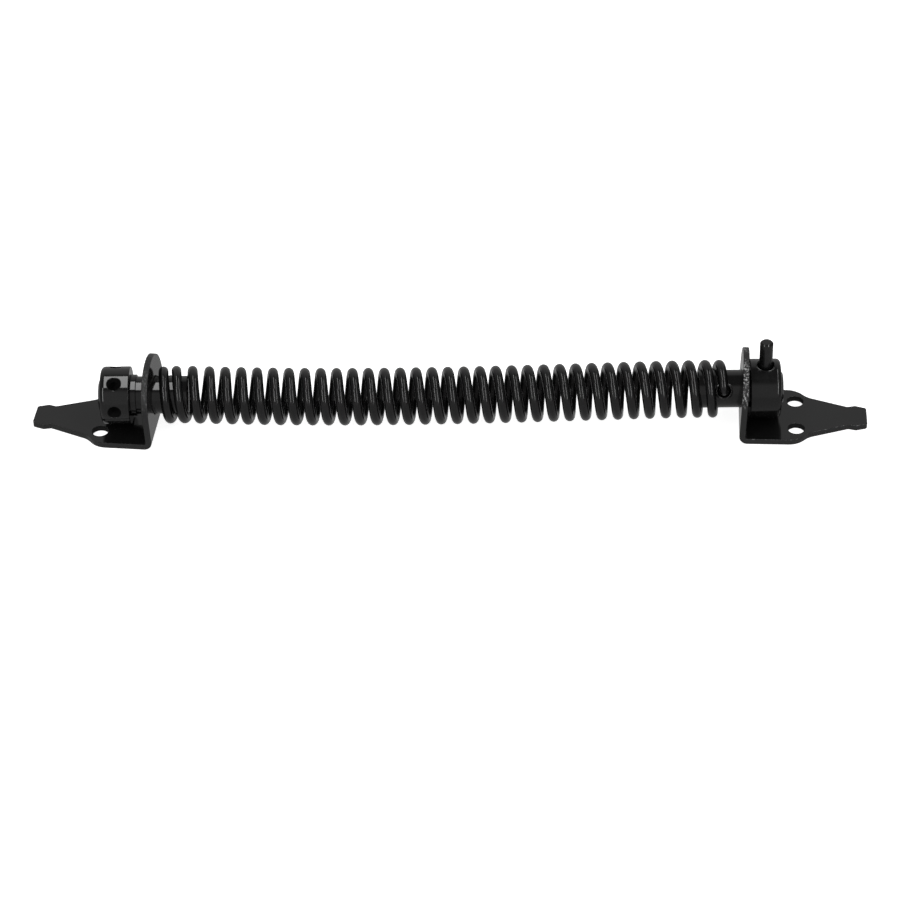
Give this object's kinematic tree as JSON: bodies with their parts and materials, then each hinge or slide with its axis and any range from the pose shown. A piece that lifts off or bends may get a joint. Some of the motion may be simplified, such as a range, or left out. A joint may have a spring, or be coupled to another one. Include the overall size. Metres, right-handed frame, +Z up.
{
  "type": "gate spring closer",
  "caption": "Torsion-spring gate closer: an open coil hooked into a spindle at each end, turning in flat screw-on brackets with upturned ears, with a winding collar and a pinned anchor collar.",
  "frame": {"origin": "on the mounting plane, under the spindles' axis and midway between the two ears", "axes": "+X along the spindles from the winding collar to the anchor collar, +Z up from the mounting plane, -Y the pictured front"},
  "size_m": [0.405, 0.0433, 0.046],
  "materials": {
    "black_plate": "black gloss paint on steel plate",
    "black_turned": "black gloss paint on turned steel",
    "black_wire": "black gloss paint on spring wire"
  },
  "bodies": {
    "left_bracket": {"left_bracket": "black_plate"},
    "winder": {"winding_collar": "black_turned", "spacer_ring": "black_turned", "left_spindle": "black_turned", "torsion_spring": "black_wire"},
    "anchor": {"right_spindle": "black_turned", "anchor_collar": "black_turned"},
    "locking_pin": {"locking_pin": "black_turned"},
    "right_bracket": {"right_bracket": "black_plate"}
  },
  "joints": [
    {"name": "winder_turn", "type": "hinge", "parent": "left_bracket", "child": "winder", "pos_m": [-0.1428, 0, 0.0184], "axis": [1, 0, 0], "continuous": true},
    {"name": "spring_twist", "type": "hinge", "parent": "winder", "child": "anchor", "pos_m": [0.1327, 0, 0.0184], "axis": [1, 0, 0], "range_deg": [-60, 270], "stiffness_Nm_per_rad": 1.8, "deforming": ["torsion_spring"]},
    {"name": "bracket_swing", "type": "hinge", "parent": "anchor", "child": "right_bracket", "pos_m": [0.1428, 0, 0.0184], "axis": [1, 0, 0], "range_deg": [-118, 118]},
    {"name": "pin_pull", "type": "slide", "parent": "anchor", "child": "locking_pin", "axis": [0, 0, 1], "range_m": [0, 0.0125]}
  ]
}
